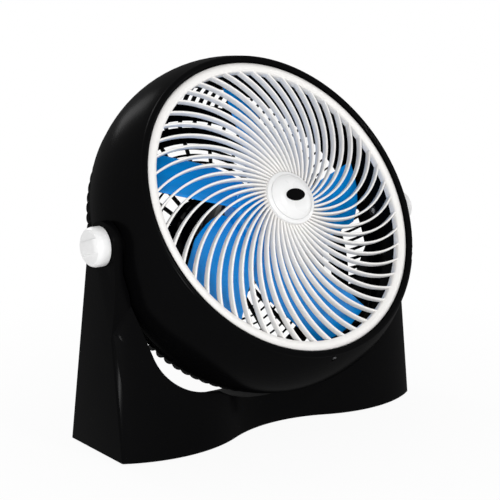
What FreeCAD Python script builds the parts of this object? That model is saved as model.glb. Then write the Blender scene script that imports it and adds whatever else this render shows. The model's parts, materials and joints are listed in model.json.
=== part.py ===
import FreeCAD, Part
import math
import os

# A floor fan whose round drum tilts in a saddle base. Millimetres, floor at zero.
# Seen from in front, X runs to the right, the front is towards -Y and Z is up.
# Head pieces are drawn in the fan frame: fan axis on Y, tilt pivots level with y = 0.

V = FreeCAD.Vector

# Position of the head
TILT = 29.0             # angle of the fan axis above level at rest
PIVOT_Y = -16.0
PIVOT_Z = 262.0
AXIS_RISE = 8.0         # fan axis above the pivot axis

# Fits and small clearances
RUN_FIT = 0.05          # radial, shaft in a bearing
SLIP_FIT = 0.3          # radial, screw or stud in a plain hole
SEAT_GAP = 0.5          # ring and plate edges in their seats

# Drum
DRUM_R = 224.0
DRUM_WALL = 2.6
DRUM_FRONT_R, DRUM_FRONT_Y = 204.0, -62.0
DRUM_REAR_R, DRUM_REAR_Y = 219.8, 42.0
LIP_R, LIP_Y = 200.6, -66.0
LIP_EDGE_Y = -63.5
DUCT_R, DUCT_WALL, DUCT_REAR_Y = 188.0, 2.4, -20.0
FRONT_BAND_Y = -48.4    # inner face of the thick front band
FRONT_BAND_R = 206.5

# Front grille
RING_R, RING_IN_R = 195.0, 182.0
RING_WALL = 2.5
RING_FRONT_Y, RING_REAR_Y = -60.0, -51.0
RING_CROWN = 3.2
RIB_COUNT = 50
RIB_W, RIB_DEPTH = 2.7, 9.2
RIB_PLAN = ((32.0, -1.6), (96.2, 46.9), (123.0, 140.0))
DOME = ((30.0, -72.2), (108.0, -69.2), (183.5, -60.6))
BOSS_R, BOSS_WALL = 34.5, 2.5
BOSS_FRONT_Y, BOSS_FLOOR, BOSS_REAR_Y = -72.5, 3.0, -63.5
CAP_R, CAP_FLAT_R, CAP_FRONT_Y = 35.0, 16.5, -85.0
CAP_SHOULDER_R, CAP_SHOULDER_Y, CAP_EDGE_Y = 25.0, -82.3, -78.0
CAP_GROOVE_R, CAP_GROOVE = 30.0, 0.8
BADGE_A, BADGE_B, BADGE_T = 14.5, 8.0, 1.2
LOCK_SCREW_Y = -57.0

# Rear grille
FIN_COUNT = 96
FIN_T = 2.4
BAND_R, BAND_IN_R, BAND_FRONT_Y = 216.8, 210.8, 32.0
BAND_FLANGE_R, BAND_REAR_Y = 219.6, 45.0
FIN_OUT = ((215.8, 39.0), (208.0, 77.5), (182.0, 106.0), (70.0, 107.5))
FIN_IN = ((70.0, 100.5), (178.5, 99.0), (200.8, 75.0), (211.8, 39.0))
MIDDLE_FIN_R, SHORT_FIN_R = 160.0, 191.0
SHOULDER_OUT = ((205.2, 80.2), (198.0, 90.5), (189.1, 99.3))
SHOULDER_IN = ((187.3, 97.2), (195.8, 88.7), (202.7, 78.8))
PLATE_R, PLATE_IN_R = 178.0, 155.0
GRILLE_RINGS = (93.0, 104.0, 115.0, 126.0, 137.0, 147.0)
RING_BAR_W, RING_BAR_Y, RING_BAR_T = 2.4, 101.0, 4.6
CUP_R, CUP_WALL, CUP_FLOOR_Y, CUP_FLOOR_T = 67.0, 2.6, 84.0, 3.0
CUP_RIM_R, CUP_RIM_Y, CUP_REAR_Y = 74.0, 104.5, 108.0
LUG_COUNT, LUG_R, LUG_PCR, LUG_T = 6, 5.0, 213.3, 4.0
LUG_BOSS_R, LUG_BOSS_Y = 8.5, 24.0

# Motor
MOTOR_R, MOTOR_WALL = 46.0, 2.5
MOTOR_FRONT_Y, MOTOR_REAR_Y = 18.0, 84.0
CORE_FRONT_Y, CORE_REAR_Y = 36.0, 66.0
CORE_BORE_R, ROTOR_R = 25.4, 25.0
ROTOR_OVER = 2.0
COIL_R, COIL_IN_R, COIL_H = 35.0, 27.5, 10.0
SHAFT_R, SHAFT_FRONT_Y, SHAFT_REAR_Y = 4.0, -32.0, 82.0
BEARING_R, BEARING_L, BEARING_BOSS_R, BEARING_FRONT_Y = 8.0, 14.0, 11.0, 14.0
BOLT_R, BOLT_PCR, BOLT_HEAD_R, BOLT_HEAD_H = 2.0, 40.0, 3.6, 2.8
BOLT_COUNT, BOLT_FIRST_DEG = 4, 45.0
NUT_T = 3.2
COLLAR_R, COLLAR_T = 7.0, 2.0

# Impeller
BLADE_COUNT = 5
BLADE_T = 2.4
BLADE_TRAIL_DEG = 163.5
# each station of a blade: offset from the trailing edge, reach of root and tip, depth
BLADE_STATIONS = ((0.0, 38.0, 180.0, -20.0), (26.0, 32.0, 181.0, -7.5), (52.0, 20.0, 174.0, 5.5),
                  (72.0, 64.0, 158.0, 17.0))
HUB_R, HUB_WALL, HUB_FRONT_Y, HUB_REAR_Y = 46.0, 3.0, -24.0, 9.0
HUB_ROUND = 6.0
HUB_BOSS_R = 11.0
SPINNER_R, SPINNER_FRONT_Y, SPINNER_EDGE_Y = 11.0, -38.0, -31.4
SPINNER_NOSE = (6.6, -36.9)
CROSS_PIN_R, CROSS_PIN_L, CROSS_PIN_Y = 1.5, 20.0, 6.9

# Motor cover, switch and electrics
COVER_R, COVER_WALL, COVER_REAR_Y, COVER_FLAT_R, COVER_EDGE_Y = 73.5, 2.5, 126.5, 59.0, 113.0
COVER_ROUND = (69.7, 122.6)
POST_R, POST_PCR, POST_FOOT = 5.0, 55.0, 5.0
POST_ANGLES = (90.0, 210.0, 330.0)
LONG_SCREW_R, LONG_HEAD_R, LONG_HEAD_H = 2.0, 3.8, 2.4
SWITCH_W, SWITCH_FRONT_Y, SWITCH_REAR_Y = 30.0, 98.0, 118.0
NECK_R, NECK_REAR_Y, NECK_NUT_R, NECK_NUT_T = 4.8, 131.0, 8.4, 2.4
SPINDLE_R, SPINDLE_FRONT_Y, SPINDLE_REAR_Y = 3.0, 108.0, 145.0
DIAL_R, DIAL_FRONT_Y, DIAL_REAR_Y, DIAL_GRIP_W, DIAL_GRIP_H = 19.0, 127.5, 140.0, 9.0, 8.0
DIAL_RECESS_R, DIAL_RECESS_Y, DIAL_BEVEL = 11.0, 132.5, 1.0
CAPACITOR = (38.0, 24.0, 26.0)
CAPACITOR_Z = 22.0
GLAND_Z, GLAND_R, GLAND_BORE_R = -42.0, 6.0, 3.6
GLAND_FLANGE_R, GLAND_IN_Y, GLAND_OUT_Y = 8.5, 121.0, 131.0
VENT_COUNT, VENT_PITCH, VENT_W, VENT_L, VENT_R = 5, 7.5, 3.0, 18.0, 38.0

# Tilt pivots, each drawn along X for the right-hand side
PAD_R, PAD_X, PAD_IN_X = 22.0, 226.2, 199.0
STUD_R, STUD_IN_X, STUD_OUT_X = 4.0, 200.0, 252.0
PIVOT_NUT_R, PIVOT_NUT_T = 7.5, 6.4
WASHER_R, WASHER_HOLE_R, WASHER_T = 20.0, 5.0, 1.1
WASHER_GAP = 0.1
BUSH_R, BUSH_FLANGE_R, BUSH_FLANGE_T = 9.0, 13.0, 2.4
KNOB_R, KNOB_ROUND, KNOB_X, KNOB_OUT_X = 24.0, 10.3, 239.0, 258.0
KNOB_GRIP_W, KNOB_GRIP_RISE, KNOB_GRIP_DEG = 16.0, 3.0, 73.0

# Base
FOOT_H, FOOT_R, FOOT_PEG_R = 3.0, 10.0, 3.0
FEET = ((205.0, -24.0), (205.0, 62.0))
BASE_WALL = 2.5
CHEEK_X, CHEEK_IN_X = 238.5, 227.5
WAVE_LOBE_X, WAVE_WAIST_Y, WAVE_LOBE_Y = 150.0, -28.0, -63.0
BASE_DRAFT = 0.124      # the front wall leans back by this share of its height
CORNER_R = 4.0
CHEEK_TOP_R, CHEEK_REAR_Y = 29.5, 82.5
SHOULDER_Z, SHOULDER_LOW_Z, SHOULDER_Y, NECK_Y = 205.0, 150.0, -80.0, -18.0
SADDLE_Z, SADDLE_R, SADDLE_TURN = 70.0, 943.0, 7.9
SADDLE_SIDE_R, SADDLE_SIDE_TURN, SADDLE_FALL = 79.0, 73.0, 18.0
DRUM_CLEAR_R = 222.0
BACK_T, BACK_GAP, BACK_LIP = 2.5, 0.3, 6.0
BACK_SCREW_R, BACK_HEAD_R, BACK_HEAD_H, BACK_POST_R, BACK_POST_L = 1.6, 3.0, 1.8, 3.3, 14.0
BACK_SCREWS = ((233.0, 205.0), (233.0, 120.0), (233.0, 35.0))
FAR = 400.0
UPRIGHT = 0.9           # smallest rise per length of an upright edge

os.makedirs("parts", exist_ok=True)


def save(name, shape):
    shape.exportStep("parts/" + name + ".step")


def outline(steps, at):
    """Closed face through corners; a pair of points is an arc through the first to the second."""
    edges, here = [], steps[0]
    last = steps[-1][1] if isinstance(steps[-1][0], tuple) else steps[-1]
    for step in list(steps[1:]) + ([steps[0]] if last != steps[0] else []):
        if isinstance(step[0], tuple):
            edges.append(Part.Arc(at(*here), at(*step[0]), at(*step[1])).toShape())
            here = step[1]
        else:
            edges.append(Part.makeLine(at(*here), at(*step)))
            here = step
    return Part.Face(Part.Wire(edges))


def turned(steps):
    """Solid turned about the fan axis from (radius, y) corners."""
    return outline(steps, lambda r, y: V(r, y, 0)).revolve(V(), V(0, 1, 0), 360)


def rod(r, y0, y1, x=0.0, z=0.0):
    return Part.makeCylinder(r, y1 - y0, V(x, y0, z), V(0, 1, 0))


def tube(r, bore, y0, y1, x=0.0, z=0.0):
    return rod(r, y0, y1, x, z).cut(rod(bore, y0, y1, x, z))


def bar(r, x0, x1):
    """Cylinder along X on the pivot axis, in the fan frame."""
    return Part.makeCylinder(r, x1 - x0, V(x0, 0, -AXIS_RISE), V(1, 0, 0))


def box(x0, x1, y0, y1, z0, z1):
    return Part.makeBox(x1 - x0, y1 - y0, z1 - z0, V(x0, y0, z0))


def hexagon(r, centre, axis, depth):
    prism = Part.makePolygon([V(r * math.cos(math.radians(a)), r * math.sin(math.radians(a)), 0)
                              for a in range(0, 361, 60)])
    prism = Part.Face(prism).extrude(V(0, 0, depth))
    prism.Placement = FreeCAD.Placement(centre, FreeCAD.Rotation(V(0, 0, 1), axis))
    return prism.transformed(FreeCAD.Matrix(), copy=True)


def spun(shape, degrees):
    """Copy turned about the fan axis, counter-clockwise seen from in front."""
    copy = shape.copy()
    copy.rotate(V(), V(0, 1, 0), -degrees)
    return copy


def ring_of(shape, count, start=0.0):
    return [spun(shape, start + i * 360.0 / count) for i in range(count)]


def polar(r, degrees):
    return r * math.cos(math.radians(degrees)), r * math.sin(math.radians(degrees))


def mirrored(shape):
    return shape.mirror(V(), V(1, 0, 0))


def headed(shape):
    """Moves a piece from the fan frame to its place on the tilted head."""
    place = FreeCAD.Matrix()
    place.move(V(0, 0, AXIS_RISE))
    place.rotateX(-math.radians(TILT))
    place.move(V(0, PIVOT_Y, PIVOT_Z))
    return shape.transformed(place, copy=True)


def bolt_angle(i):
    return BOLT_FIRST_DEG + 360.0 * i / BOLT_COUNT


def lug_angle(i):
    """Lugs stand midway between two fins."""
    pitch = 360.0 / FIN_COUNT
    return (round(i * FIN_COUNT / LUG_COUNT) + 0.5) * pitch


def drum_shell():
    shell = turned([(DRUM_REAR_R, DRUM_REAR_Y), ((DRUM_R, 0.0), (DRUM_FRONT_R, DRUM_FRONT_Y)),
                    ((LIP_R, LIP_Y), (RING_R + SEAT_GAP, LIP_EDGE_Y)), (RING_R + SEAT_GAP, RING_REAR_Y),
                    (DUCT_R, RING_REAR_Y), (DUCT_R, DUCT_REAR_Y), (DUCT_R + DUCT_WALL, DUCT_REAR_Y),
                    (DUCT_R + DUCT_WALL, FRONT_BAND_Y), (FRONT_BAND_R, FRONT_BAND_Y),
                    ((DRUM_R - DRUM_WALL, 0.0), (DRUM_REAR_R - DRUM_WALL, DRUM_REAR_Y))])
    adds, cuts = [], []
    pad = bar(PAD_R, PAD_IN_X, PAD_X)
    hole = bar(STUD_R + SLIP_FIT, PAD_IN_X, PAD_X)
    pocket = hexagon(PIVOT_NUT_R + SLIP_FIT, V(PAD_IN_X, 0, -AXIS_RISE), V(1, 0, 0), PIVOT_NUT_T)
    for side in (pad, mirrored(pad)):
        adds.append(side)
    for side in (hole, pocket):
        cuts += [side, mirrored(side)]
    for i in range(LUG_COUNT):
        x, z = polar(LUG_PCR, lug_angle(i))
        adds.append(rod(LUG_BOSS_R, LUG_BOSS_Y, BAND_FRONT_Y, x, z))
        cuts.append(rod(BOLT_R, LUG_BOSS_Y, BAND_FRONT_Y, x, z))
    lock_hole = Part.makeCylinder(BOLT_R, FAR, V(0, LOCK_SCREW_Y, -DUCT_R), V(0, 0, -1))
    lock_seat = Part.makeCylinder(BOLT_HEAD_R, FAR, V(0, LOCK_SCREW_Y, -DRUM_FRONT_R), V(0, 0, -1))
    return shell.multiFuse(adds).cut(Part.makeCompound(cuts + [lock_hole, lock_seat]))


def front_grille():
    crown = (0.5 * (RING_R + RING_IN_R), RING_FRONT_Y - RING_CROWN)
    under_y = RING_FRONT_Y + RING_WALL
    ring = turned([(RING_R, RING_FRONT_Y), (crown, (RING_IN_R, RING_FRONT_Y)), (RING_IN_R, RING_REAR_Y),
                   (RING_IN_R + RING_WALL, RING_REAR_Y), (RING_IN_R + RING_WALL, under_y),
                   (RING_R - RING_WALL, under_y), (RING_R - RING_WALL, RING_REAR_Y), (RING_R, RING_REAR_Y)])
    boss = turned([(0.0, BOSS_FRONT_Y), (BOSS_R, BOSS_FRONT_Y), (BOSS_R, BOSS_REAR_Y),
                   (BOSS_R - BOSS_WALL, BOSS_REAR_Y), (BOSS_R - BOSS_WALL, BOSS_FRONT_Y + BOSS_FLOOR),
                   (0.0, BOSS_FRONT_Y + BOSS_FLOOR)])
    (r0, y0), (r1, y1), (r2, y2) = DOME
    dome = turned([DOME[0], (DOME[1], DOME[2]), (r2, y2 + RIB_DEPTH),
                   ((r1, y1 + RIB_DEPTH), (r0, y0 + RIB_DEPTH))])
    arc = Part.Arc(*[V(x, y0 - RIB_DEPTH, z) for x, z in RIB_PLAN]).toShape().Curve
    ends = [math.atan2(z - arc.Center.z, x - arc.Center.x) for x, z in RIB_PLAN]

    def on_arc(r, angle):
        return arc.Center.x + r * math.cos(angle), arc.Center.z + r * math.sin(angle)

    wide, narrow = arc.Radius + 0.5 * RIB_W, arc.Radius - 0.5 * RIB_W
    plan = outline([on_arc(wide, ends[0]), (on_arc(wide, ends[1]), on_arc(wide, ends[2])),
                    on_arc(narrow, ends[2]), (on_arc(narrow, ends[1]), on_arc(narrow, ends[0]))],
                   lambda x, z: V(x, y0 - RIB_DEPTH, z))
    rib = plan.extrude(V(0, y2 - y0 + 3 * RIB_DEPTH, 0)).common(dome)
    grille = ring.multiFuse([boss] + ring_of(rib, RIB_COUNT))
    lock_hole = Part.makeCylinder(BOLT_R, 2 * RING_WALL, V(0, LOCK_SCREW_Y, -RING_R), V(0, 0, 1))
    return grille.cut(lock_hole)


def grille_hub_cap():
    return turned([(0.0, CAP_FRONT_Y), (CAP_FLAT_R, CAP_FRONT_Y),
                   ((CAP_SHOULDER_R, CAP_SHOULDER_Y), (CAP_GROOVE_R, CAP_EDGE_Y)),
                   (CAP_GROOVE_R, CAP_EDGE_Y + 2 * CAP_GROOVE),
                   (CAP_GROOVE_R + CAP_GROOVE, CAP_EDGE_Y + 2 * CAP_GROOVE),
                   (CAP_GROOVE_R + CAP_GROOVE, CAP_EDGE_Y + CAP_GROOVE),
                   (CAP_R, CAP_EDGE_Y + 3 * CAP_GROOVE), (CAP_R, BOSS_FRONT_Y), (0.0, BOSS_FRONT_Y)])


def hub_badge():
    oval = Part.Ellipse(V(0, CAP_FRONT_Y, 0), BADGE_A, BADGE_B).toShape()
    oval.rotate(V(0, CAP_FRONT_Y, 0), V(1, 0, 0), 90)
    return Part.Face(Part.Wire(oval)).extrude(V(0, -BADGE_T, 0))


def grille_lock_screw():
    shank = Part.makeCylinder(BOLT_R - SLIP_FIT, DRUM_FRONT_R - DUCT_R - 2 * RING_WALL,
                              V(0, LOCK_SCREW_Y, -DRUM_FRONT_R), V(0, 0, 1))
    head = Part.makeCylinder(BOLT_HEAD_R - SLIP_FIT, BOLT_HEAD_H, V(0, LOCK_SCREW_Y, -DRUM_FRONT_R),
                             V(0, 0, -1))
    return shank.fuse(head)


def fin(inner_r):
    """One rib of the rear basket: round the shoulder, then in towards the motor cup."""
    (ra, ya), mid_out, (rb, yb), (rc, yc) = FIN_OUT
    (rd, yd), (re, ye), mid_in, (rf, yf) = FIN_IN
    share = (inner_r - rc) / (rb - rc)
    out_end = (inner_r, yc + share * (yb - yc))
    in_end = (inner_r, yd + share * (ye - yd))
    plan = outline([(ra, ya), (mid_out, (rb, yb)), out_end, in_end, (re, ye), (mid_in, (rf, yf))],
                   lambda r, y: V(r, y, -0.5 * FIN_T))
    return plan.extrude(V(0, 0, FIN_T))


def rear_grille():
    band = turned([(BAND_IN_R, BAND_FRONT_Y), (BAND_R, BAND_FRONT_Y), (BAND_R, DRUM_REAR_Y),
                   (BAND_FLANGE_R, DRUM_REAR_Y), (BAND_FLANGE_R, BAND_REAR_Y), (BAND_IN_R, BAND_REAR_Y)])
    floor_y = CUP_FLOOR_Y + CUP_FLOOR_T
    cup = turned([(0.0, CUP_FLOOR_Y), (CUP_R, CUP_FLOOR_Y), (CUP_R, CUP_RIM_Y), (CUP_RIM_R, CUP_RIM_Y),
                  (CUP_RIM_R, CUP_REAR_Y), (CUP_R - CUP_WALL, CUP_REAR_Y), (CUP_R - CUP_WALL, floor_y),
                  (0.0, floor_y)])
    bars = [tube(r + 0.5 * RING_BAR_W, r - 0.5 * RING_BAR_W, RING_BAR_Y, RING_BAR_Y + RING_BAR_T)
            for r in GRILLE_RINGS]
    bars.append(tube(PLATE_R, PLATE_IN_R, RING_BAR_Y, RING_BAR_Y + RING_BAR_T))
    bars.append(turned([SHOULDER_OUT[0], SHOULDER_OUT[1:], SHOULDER_IN[0], SHOULDER_IN[1:]]))
    pitch = 360.0 / FIN_COUNT
    short_fin = fin(MIDDLE_FIN_R).cut(rod(SHORT_FIN_R, BAND_FRONT_Y, FAR))
    fins = ring_of(fin(FIN_OUT[3][0]), FIN_COUNT // 4) + ring_of(fin(MIDDLE_FIN_R), FIN_COUNT // 4, 2 * pitch)
    fins += ring_of(short_fin, FIN_COUNT // 2, pitch)
    adds, cuts = [], [rod(BEARING_BOSS_R + SLIP_FIT, CUP_FLOOR_Y, floor_y)]
    for i in range(LUG_COUNT):
        x, z = polar(LUG_PCR, lug_angle(i))
        adds.append(rod(LUG_R, BAND_FRONT_Y, BAND_FRONT_Y + LUG_T, x, z))
        cuts.append(rod(BOLT_R + SLIP_FIT, BAND_FRONT_Y, BAND_FRONT_Y + LUG_T, x, z))
        cuts.append(rod(BOLT_HEAD_R + SLIP_FIT, BAND_FRONT_Y + LUG_T, BAND_REAR_Y, x, z))
    for angle in POST_ANGLES:
        x, z = polar(POST_PCR, angle)
        adds.append(rod(POST_R, floor_y, floor_y + POST_FOOT, x, z))
        cuts.append(rod(LONG_SCREW_R, CUP_FLOOR_Y, floor_y + POST_FOOT, x, z))
    for i in range(BOLT_COUNT):
        x, z = polar(BOLT_PCR, bolt_angle(i))
        cuts.append(rod(BOLT_R + SLIP_FIT, CUP_FLOOR_Y, floor_y, x, z))
    return band.multiFuse([cup] + bars + fins + adds).cut(Part.makeCompound(cuts))


def rear_grille_screws():
    seat_y = BAND_FRONT_Y + LUG_T
    screws = []
    for i in range(LUG_COUNT):
        x, z = polar(LUG_PCR, lug_angle(i))
        screws.append(rod(BOLT_R, LUG_BOSS_Y, seat_y, x, z)
                      .fuse(rod(BOLT_HEAD_R, seat_y, seat_y + BOLT_HEAD_H, x, z)))
    return Part.makeCompound(screws)


def bolt_holes(y0, y1, r):
    return Part.makeCompound([rod(r, y0, y1, *polar(BOLT_PCR, bolt_angle(i))) for i in range(BOLT_COUNT)])


def motor_shield(front):
    """End bell with its bearing boss: the front one, or the rear one turned to face it."""
    inner = CORE_FRONT_Y - MOTOR_FRONT_Y
    nose = MOTOR_FRONT_Y - BEARING_FRONT_Y
    bell = turned([(BEARING_R, -nose), (BEARING_BOSS_R, -nose), (BEARING_BOSS_R, 0.0), (MOTOR_R - MOTOR_WALL, 0.0),
                   (MOTOR_R, MOTOR_WALL), (MOTOR_R, inner), (MOTOR_R - MOTOR_WALL, inner),
                   (MOTOR_R - MOTOR_WALL, MOTOR_WALL), (BEARING_BOSS_R, MOTOR_WALL),
                   (BEARING_BOSS_R, BEARING_L - nose), (BEARING_R, BEARING_L - nose)])
    bell = bell.cut(bolt_holes(0.0, MOTOR_WALL, BOLT_R + SLIP_FIT))
    if front:
        bell.translate(V(0, MOTOR_FRONT_Y, 0))
    else:
        bell.rotate(V(), V(1, 0, 0), 180)
        bell.translate(V(0, MOTOR_REAR_Y, 0))
    return bell


def stator_core():
    return tube(MOTOR_R, CORE_BORE_R, CORE_FRONT_Y, CORE_REAR_Y).cut(
        bolt_holes(CORE_FRONT_Y, CORE_REAR_Y, BOLT_R + SLIP_FIT))


def stator_windings():
    half = 0.5 * (COIL_R - COIL_IN_R)
    coil = turned([(COIL_IN_R, 0.0), (COIL_IN_R, COIL_H - half),
                   ((COIL_IN_R + half, COIL_H), (COIL_R, COIL_H - half)), (COIL_R, 0.0)])
    front = coil.copy()
    front.rotate(V(), V(1, 0, 0), 180)
    front.translate(V(0, CORE_FRONT_Y, 0))
    coil.translate(V(0, CORE_REAR_Y, 0))
    return Part.makeCompound([front, coil])


def motor_bolts():
    end_y = CUP_FLOOR_Y + CUP_FLOOR_T + NUT_T + BOLT_R
    bolts = []
    for i in range(BOLT_COUNT):
        x, z = polar(BOLT_PCR, bolt_angle(i))
        bolts.append(rod(BOLT_R, MOTOR_FRONT_Y, end_y, x, z)
                     .fuse(rod(BOLT_HEAD_R, MOTOR_FRONT_Y - BOLT_HEAD_H, MOTOR_FRONT_Y, x, z)))
    return Part.makeCompound(bolts)


def motor_nuts():
    seat_y = CUP_FLOOR_Y + CUP_FLOOR_T
    nuts = []
    for i in range(BOLT_COUNT):
        x, z = polar(BOLT_PCR, bolt_angle(i))
        nuts.append(hexagon(2 * BOLT_R, V(x, seat_y, z), V(0, 1, 0), NUT_T)
                    .cut(rod(BOLT_R, seat_y, seat_y + NUT_T, x, z)))
    return Part.makeCompound(nuts)


def bearing(y0):
    return tube(BEARING_R, SHAFT_R + RUN_FIT, y0, y0 + BEARING_L)


def rear_bearing_y():
    return MOTOR_REAR_Y + MOTOR_FRONT_Y - BEARING_FRONT_Y - BEARING_L


def motor_shaft():
    shaft = rod(SHAFT_R, SHAFT_FRONT_Y, SHAFT_REAR_Y)
    return shaft.cut(Part.makeCylinder(CROSS_PIN_R, 2 * SHAFT_R, V(-SHAFT_R, CROSS_PIN_Y, 0), V(1, 0, 0)))


def rotor_core():
    return tube(ROTOR_R, SHAFT_R, CORE_FRONT_Y - ROTOR_OVER, CORE_REAR_Y + ROTOR_OVER)


def shaft_collars():
    front_y = BEARING_FRONT_Y + BEARING_L
    rear_y = rear_bearing_y() - SEAT_GAP
    return Part.makeCompound([tube(COLLAR_R, SHAFT_R, front_y + SEAT_GAP, front_y + SEAT_GAP + COLLAR_T),
                              tube(COLLAR_R, SHAFT_R, rear_y - COLLAR_T, rear_y)])


def cross_pin():
    return Part.makeCylinder(CROSS_PIN_R, CROSS_PIN_L, V(-0.5 * CROSS_PIN_L, CROSS_PIN_Y, 0), V(1, 0, 0))


def blade():
    """One pitched blade, lofted through straight stations from its trailing to its leading edge."""
    wires = []
    for offset, root, tip, y in BLADE_STATIONS:
        side_x, side_z = polar(offset, BLADE_TRAIL_DEG - 90.0)
        corners = []
        for reach, side in ((root, -0.5), (tip, -0.5), (tip, 0.5), (root, 0.5), (root, -0.5)):
            x, z = polar(reach, BLADE_TRAIL_DEG)
            corners.append(V(x + side_x, y + side * BLADE_T, z + side_z))
        wires.append(Part.makePolygon(corners))
    return Part.makeLoft(wires, True, False)


def fan_blade():
    inside_y = HUB_FRONT_Y + HUB_WALL
    hub = turned([(SHAFT_R + RUN_FIT, HUB_FRONT_Y), (HUB_R - HUB_ROUND, HUB_FRONT_Y),
                  (polar_point(HUB_R - HUB_ROUND, HUB_FRONT_Y + HUB_ROUND, HUB_ROUND, -45.0),
                   (HUB_R, HUB_FRONT_Y + HUB_ROUND)),
                  (HUB_R, HUB_REAR_Y), (HUB_R - HUB_WALL, HUB_REAR_Y), (HUB_R - HUB_WALL, inside_y),
                  (HUB_BOSS_R, inside_y), (HUB_BOSS_R, HUB_REAR_Y), (SHAFT_R + RUN_FIT, HUB_REAR_Y)])
    inside = tube(HUB_R - HUB_WALL, HUB_BOSS_R, inside_y, HUB_REAR_Y + FAR)
    blades = [b.cut(inside) for b in ring_of(blade(), BLADE_COUNT)]
    slot = box(-CROSS_PIN_L, CROSS_PIN_L, CROSS_PIN_Y - CROSS_PIN_R, HUB_REAR_Y + CROSS_PIN_R,
               -CROSS_PIN_R, CROSS_PIN_R)
    slot = slot.common(rod(HUB_BOSS_R + SLIP_FIT, inside_y, HUB_REAR_Y + CROSS_PIN_R))
    return hub.multiFuse(blades).cut(slot)


def polar_point(r, y, reach, degrees):
    return r + reach * math.cos(math.radians(degrees)), y + reach * math.sin(math.radians(degrees))


def blade_nut():
    end_y = SHAFT_FRONT_Y - SEAT_GAP
    return turned([(0.0, SPINNER_FRONT_Y), SPINNER_NOSE, (SPINNER_R, SPINNER_EDGE_Y),
                   (SPINNER_R, HUB_FRONT_Y), (SHAFT_R + RUN_FIT, HUB_FRONT_Y),
                   (SHAFT_R + RUN_FIT, end_y), (0.0, end_y)])


def motor_cover():
    inner_flat = COVER_FLAT_R - 0.5 * COVER_WALL
    inset = COVER_WALL * math.cos(0.25 * math.pi)
    cover = turned([(NECK_R + SLIP_FIT, COVER_REAR_Y), (COVER_FLAT_R, COVER_REAR_Y),
                    (COVER_ROUND, (COVER_R, COVER_EDGE_Y)), (COVER_R, CUP_REAR_Y),
                    (COVER_R - COVER_WALL, CUP_REAR_Y), (COVER_R - COVER_WALL, COVER_EDGE_Y),
                    ((COVER_ROUND[0] - inset, COVER_ROUND[1] - inset),
                     (inner_flat, COVER_REAR_Y - COVER_WALL)),
                    (NECK_R + SLIP_FIT, COVER_REAR_Y - COVER_WALL)])
    adds, cuts = [], [rod(GLAND_R, GLAND_IN_Y, GLAND_OUT_Y, 0.0, GLAND_Z)]
    foot_y = CUP_FLOOR_Y + CUP_FLOOR_T + POST_FOOT
    for angle in POST_ANGLES:
        x, z = polar(POST_PCR, angle)
        adds.append(rod(POST_R, foot_y, COVER_REAR_Y - COVER_WALL, x, z))
        cuts.append(rod(LONG_SCREW_R + SLIP_FIT, foot_y, COVER_REAR_Y, x, z))
    for side in (-1.0, 1.0):
        for i in range(VENT_COUNT):
            z = (i - 0.5 * (VENT_COUNT - 1)) * VENT_PITCH
            x = side * VENT_R
            cuts.append(box(x - 0.5 * VENT_L, x + 0.5 * VENT_L, COVER_REAR_Y - 2 * COVER_WALL, COVER_REAR_Y,
                            z - 0.5 * VENT_W, z + 0.5 * VENT_W))
    return cover.multiFuse(adds).cut(Part.makeCompound(cuts))


def motor_cover_screws():
    screws = []
    for angle in POST_ANGLES:
        x, z = polar(POST_PCR, angle)
        screws.append(rod(LONG_SCREW_R, CUP_FLOOR_Y, COVER_REAR_Y, x, z)
                      .fuse(rod(LONG_HEAD_R, COVER_REAR_Y, COVER_REAR_Y + LONG_HEAD_H, x, z)))
    return Part.makeCompound(screws)


def speed_switch():
    half = 0.5 * SWITCH_W
    body = box(-half, half, SWITCH_FRONT_Y, SWITCH_REAR_Y, -half, half)
    return body.fuse(rod(NECK_R, SWITCH_REAR_Y, NECK_REAR_Y)).cut(
        rod(SPINDLE_R + RUN_FIT, SPINDLE_FRONT_Y - SEAT_GAP, NECK_REAR_Y))


def switch_nut():
    nut = hexagon(NECK_NUT_R, V(0, COVER_REAR_Y, 0), V(0, 1, 0), NECK_NUT_T)
    return nut.cut(rod(NECK_R, COVER_REAR_Y, COVER_REAR_Y + NECK_NUT_T))


def switch_spindle():
    return rod(SPINDLE_R, SPINDLE_FRONT_Y, SPINDLE_REAR_Y)


def speed_knob():
    disc = turned([(0.0, DIAL_RECESS_Y), (DIAL_RECESS_R, DIAL_RECESS_Y), (DIAL_RECESS_R, DIAL_FRONT_Y),
                   (DIAL_R, DIAL_FRONT_Y), (DIAL_R - DIAL_BEVEL, DIAL_REAR_Y - DIAL_BEVEL),
                   (DIAL_R - 2 * DIAL_BEVEL, DIAL_REAR_Y), (0.0, DIAL_REAR_Y)])
    half = 0.5 * DIAL_GRIP_W
    grip = box(-half, half, DIAL_REAR_Y, DIAL_REAR_Y + DIAL_GRIP_H, -DIAL_R, DIAL_R).common(
        rod(DIAL_R - 2 * DIAL_BEVEL, DIAL_REAR_Y, DIAL_REAR_Y + DIAL_GRIP_H))
    return disc.fuse(grip).cut(rod(SPINDLE_R, DIAL_RECESS_Y, SPINDLE_REAR_Y))


def run_capacitor():
    width, depth, height = CAPACITOR
    y0 = CUP_FLOOR_Y + CUP_FLOOR_T
    return box(-0.5 * width, 0.5 * width, y0, y0 + depth, CAPACITOR_Z, CAPACITOR_Z + height)


def cord_grommet():
    inner_y = COVER_REAR_Y - COVER_WALL
    body = rod(GLAND_R, inner_y, COVER_REAR_Y, 0.0, GLAND_Z)
    body = body.multiFuse([rod(GLAND_FLANGE_R, GLAND_IN_Y, inner_y, 0.0, GLAND_Z),
                           rod(GLAND_FLANGE_R, COVER_REAR_Y, GLAND_OUT_Y, 0.0, GLAND_Z)])
    return body.cut(rod(GLAND_BORE_R, GLAND_IN_Y, GLAND_OUT_Y, 0.0, GLAND_Z))


def both(shape):
    return Part.makeCompound([shape, mirrored(shape)])


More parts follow.
